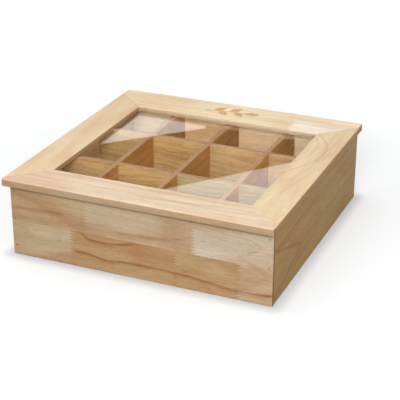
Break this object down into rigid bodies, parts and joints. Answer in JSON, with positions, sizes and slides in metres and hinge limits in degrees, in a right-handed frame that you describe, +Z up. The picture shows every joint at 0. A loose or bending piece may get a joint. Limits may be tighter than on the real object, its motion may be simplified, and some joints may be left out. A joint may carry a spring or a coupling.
{
  "type": "tea bag organizer box",
  "caption": "Low square rubberwood box with an egg-crate of divided cells and a hinged lid framing a clear pane, for keeping and offering tea bags.",
  "frame": {"origin": "centre of the flat underside of the box body, on the surface it stands on", "axes": "+Z up, the front (the side that opens) faces -Y, the hinges are at +Y, +X to the right seen from the front"},
  "size_m": [0.3085, 0.309, 0.0905],
  "materials": {
    "box_wood": "satin clear-lacquered rubberwood, edge-glued staves",
    "lid_wood": "satin clear-lacquered rubberwood",
    "divider_wood": "smooth sanded rubberwood",
    "base_plywood": "sanded thin plywood",
    "dowel_wood": "plain beech dowel",
    "clear_pane": "clear polished acrylic sheet",
    "hinge_brass": "bright rolled brass",
    "brad_steel": "dull bright-drawn steel",
    "sprig_wire": "bright steel wire"
  },
  "bodies": {
    "box": {"front_panel": "box_wood", "back_panel": "box_wood", "left_panel": "box_wood", "right_panel": "box_wood", "base_panel": "base_plywood", "long_divider_left": "divider_wood", "long_divider_middle": "divider_wood", "long_divider_right": "divider_wood", "cross_divider_front": "divider_wood", "cross_divider_rear": "divider_wood", "corner_brads": "brad_steel", "base_brads": "brad_steel", "hinge_left_box_leaf": "hinge_brass", "hinge_right_box_leaf": "hinge_brass", "hinge_left_pin": "hinge_brass", "hinge_right_pin": "hinge_brass", "box_leaf_screws": "hinge_brass"},
    "lid": {"lid_front_rail": "lid_wood", "lid_back_rail": "lid_wood", "lid_left_rail": "lid_wood", "lid_right_rail": "lid_wood", "mitre_dowels": "dowel_wood", "lid_pane": "clear_pane", "pane_sprigs": "sprig_wire", "hinge_left_lid_leaf": "hinge_brass", "hinge_right_lid_leaf": "hinge_brass", "lid_leaf_screws": "hinge_brass"}
  },
  "joints": [
    {"name": "lid_hinge", "type": "hinge", "parent": "box", "child": "lid", "pos_m": [0, 0.1473, 0.0797], "axis": [-1, 0, 0], "range_deg": [0, 104]}
  ]
}
